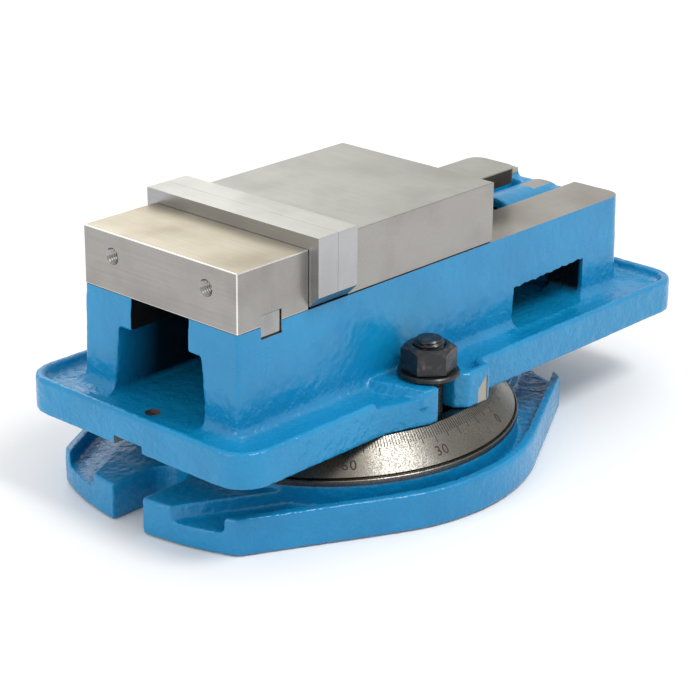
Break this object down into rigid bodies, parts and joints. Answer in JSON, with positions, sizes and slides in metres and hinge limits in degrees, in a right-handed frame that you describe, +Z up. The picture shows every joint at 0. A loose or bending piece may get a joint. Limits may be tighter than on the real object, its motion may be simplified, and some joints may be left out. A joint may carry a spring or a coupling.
{
  "type": "machine vise",
  "caption": "Angle-lock machine vise with flat jaw plates on two ground rails, a chip tray, and a graduated swivel base with hold-down lobes",
  "frame": {"origin": "on the swivel axis, in the bottom plane of the swivel base", "axes": "+X along the bed towards the screw's hexagon end, -Y the side with the near clamp nut, +Z up"},
  "size_m": [0.3241, 0.2024, 0.1283],
  "materials": {
    "body_enamel": "gloss enamel over cast iron",
    "base_enamel": "gloss enamel over cast iron",
    "ground_jaw": "surface ground",
    "ground_plate": "hardened and ground",
    "way_iron": "ground",
    "dial_iron": "turned and engraved",
    "screw_steel": "turned",
    "black_oxide": "black oxide, oiled"
  },
  "bodies": {
    "base": {"swivel_base": "base_enamel", "centre_pivot": "dial_iron"},
    "vise": {"vise_body": "body_enamel", "fixed_jaw": "ground_jaw", "fixed_jaw_key": "way_iron", "fixed_jaw_plate": "ground_plate", "fixed_plate_screw_near": "black_oxide", "fixed_plate_screw_far": "black_oxide", "fixed_jaw_bolt_near": "black_oxide", "fixed_jaw_bolt_far": "black_oxide", "bearing_race_front": "screw_steel", "tbolt_near": "black_oxide", "tbolt_far": "black_oxide", "washer_near": "black_oxide", "washer_far": "black_oxide", "nut_near": "black_oxide", "nut_far": "black_oxide"},
    "jaw": {"movable_jaw": "ground_jaw", "movable_jaw_plate": "ground_plate", "movable_plate_screw_near": "black_oxide", "movable_plate_screw_far": "black_oxide", "jaw_nut": "way_iron", "lock_segment": "screw_steel"},
    "screw": {"lead_screw": "screw_steel", "screw_collar": "black_oxide", "collar_set_screw": "black_oxide", "bearing_race_rear": "screw_steel", "bearing_cage": "dial_iron"}
  },
  "joints": [
    {"name": "swivel", "type": "hinge", "parent": "base", "child": "vise", "pos_m": [0, 0, 0.0363], "axis": [0, 0, 1], "continuous": true},
    {"name": "jaw_slide", "type": "slide", "parent": "vise", "child": "jaw", "axis": [1, 0, 0], "range_m": [0, 0.1]},
    {"name": "screw_turn", "type": "hinge", "parent": "vise", "child": "screw", "pos_m": [0.15, 0, 0.0723], "axis": [1, 0, 0], "range_deg": [0, 7200]}
  ],
  "couplings": [
    {"joint": "screw_turn", "follows": "jaw_slide", "rad_per_m": 1256.6}
  ]
}
